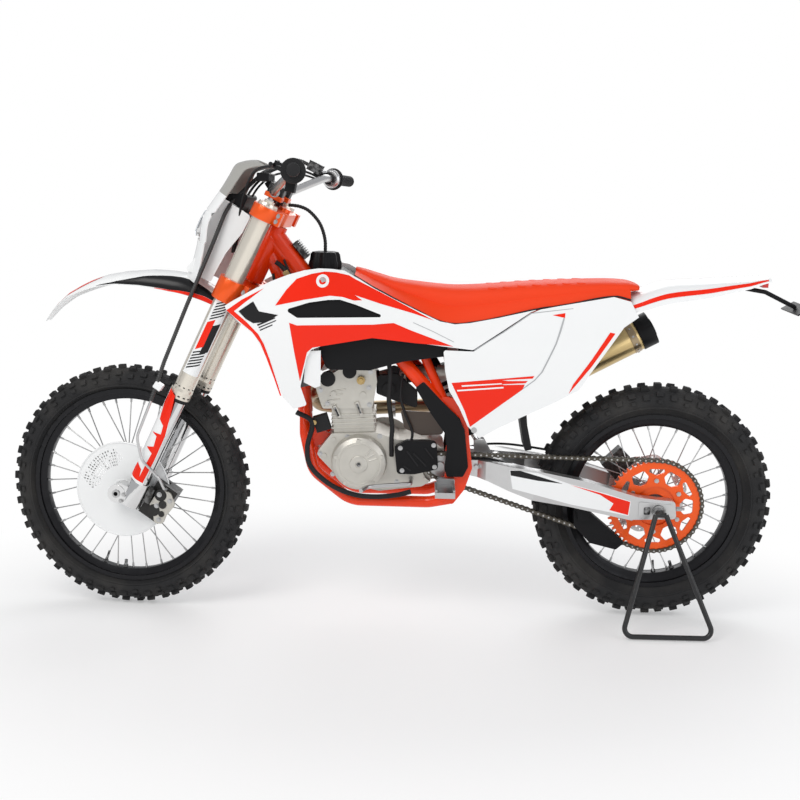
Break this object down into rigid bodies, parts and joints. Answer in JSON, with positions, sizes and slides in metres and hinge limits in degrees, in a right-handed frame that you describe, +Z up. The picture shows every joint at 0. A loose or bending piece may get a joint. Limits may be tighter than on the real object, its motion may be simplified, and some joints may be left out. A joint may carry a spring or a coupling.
{
  "type": "dirt bike",
  "caption": "Full-size off-road motorcycle with knobbly tyres, leaning on a bent-rod triangle stand; wheels spin and the fork steers.",
  "frame": {"origin": "on the floor under the middle of the bounding box", "axes": "+X to the rear of the bike, +Y to its right side, +Z up"},
  "size_m": [2.222, 0.8366, 1.2902],
  "materials": {
    "tyre_rubber": "matt knobbly rubber",
    "black_rim": "black anodised",
    "grey_hub": "satin machined",
    "disc_steel": "brushed",
    "orange_anodised": "orange anodised",
    "pale_fork": "satin",
    "fork_chrome": "polished",
    "axle_steel": "zinc plated",
    "white_plastic": "glossy moulded",
    "caliper_dark": "dark anodised",
    "bar_alloy": "satin",
    "black_rubber": "matt",
    "black_metal": "satin black",
    "lamp_lens": "clear",
    "hose_grey": "braided under clear sleeve",
    "orange_frame": "powder coated",
    "engine_alloy": "cast",
    "black_plastic": "moulded",
    "header_steel": "heat tinted",
    "gold_silencer": "gold anodised",
    "radiator_alloy": "dull",
    "seat_vinyl": "embossed vinyl",
    "red_lens": "translucent red",
    "spring_white": "powder coated",
    "silver_swingarm": "satin cast",
    "chain_steel": "oiled",
    "stand_black": "worn black"
  },
  "bodies": {
    "chassis": {"main_frame": "orange_frame", "subframe": "bar_alloy", "engine_cases": "engine_alloy", "cylinder": "engine_alloy", "cylinder_head": "engine_alloy", "engine_covers": "engine_alloy", "sprocket_cover": "black_plastic", "pinion": "axle_steel", "carburettor": "engine_alloy", "exhaust_header": "header_steel", "silencer": "gold_silencer", "silencer_cap": "black_plastic", "radiators": "radiator_alloy", "fuel_tank": "black_plastic", "fuel_cap": "black_plastic", "seat": "seat_vinyl", "shrouds": "white_plastic", "side_panels": "white_plastic", "rear_fender": "white_plastic", "tail_lamp": "red_lens", "plate_bracket": "black_plastic", "airbox": "black_plastic", "shock_absorber": "spring_white", "swingarm": "silver_swingarm", "swingarm_pivot": "axle_steel", "chain": "chain_steel", "chain_guide": "black_plastic", "rear_axle": "axle_steel", "rear_caliper": "caliper_dark", "foot_pegs": "axle_steel", "foot_levers": "axle_steel", "frame_guards": "black_plastic", "rubber_flap": "black_rubber", "paddock_stand": "stand_black"},
    "steering": {"fork_tubes": "pale_fork", "fork_legs": "fork_chrome", "front_axle": "axle_steel", "triple_clamps": "orange_anodised", "fork_guards": "white_plastic", "disc_cover": "white_plastic", "front_caliper": "caliper_dark", "handlebar": "bar_alloy", "bar_mounts": "black_metal", "grips": "black_rubber", "levers": "black_metal", "front_fender": "white_plastic", "headlight_mask": "white_plastic", "headlight": "lamp_lens", "front_brake_hose": "hose_grey"},
    "front_wheel": {"front_tyre": "tyre_rubber", "front_rim": "black_rim", "front_hub": "grey_hub", "front_disc": "disc_steel"},
    "rear_wheel": {"rear_tyre": "tyre_rubber", "rear_rim": "black_rim", "rear_hub": "grey_hub", "rear_disc": "disc_steel", "rear_sprocket": "orange_anodised"}
  },
  "joints": [
    {"name": "steering", "type": "hinge", "parent": "chassis", "child": "steering", "pos_m": [-0.38149, 0.02166, 1.00693], "axis": [0.4227, -0.0817, 0.9026], "range_deg": [-33.2, 46.8]},
    {"name": "front_wheel_spin", "type": "hinge", "parent": "steering", "child": "front_wheel", "pos_m": [-0.76394, 0.08918, 0.35013], "axis": [0.1073, 0.9934, 0.0396], "continuous": true},
    {"name": "rear_wheel_spin", "type": "hinge", "parent": "chassis", "child": "rear_wheel", "pos_m": [0.72562, 0.08186, 0.34147], "axis": [0, 0.9959, 0.0901], "continuous": true}
  ]
}
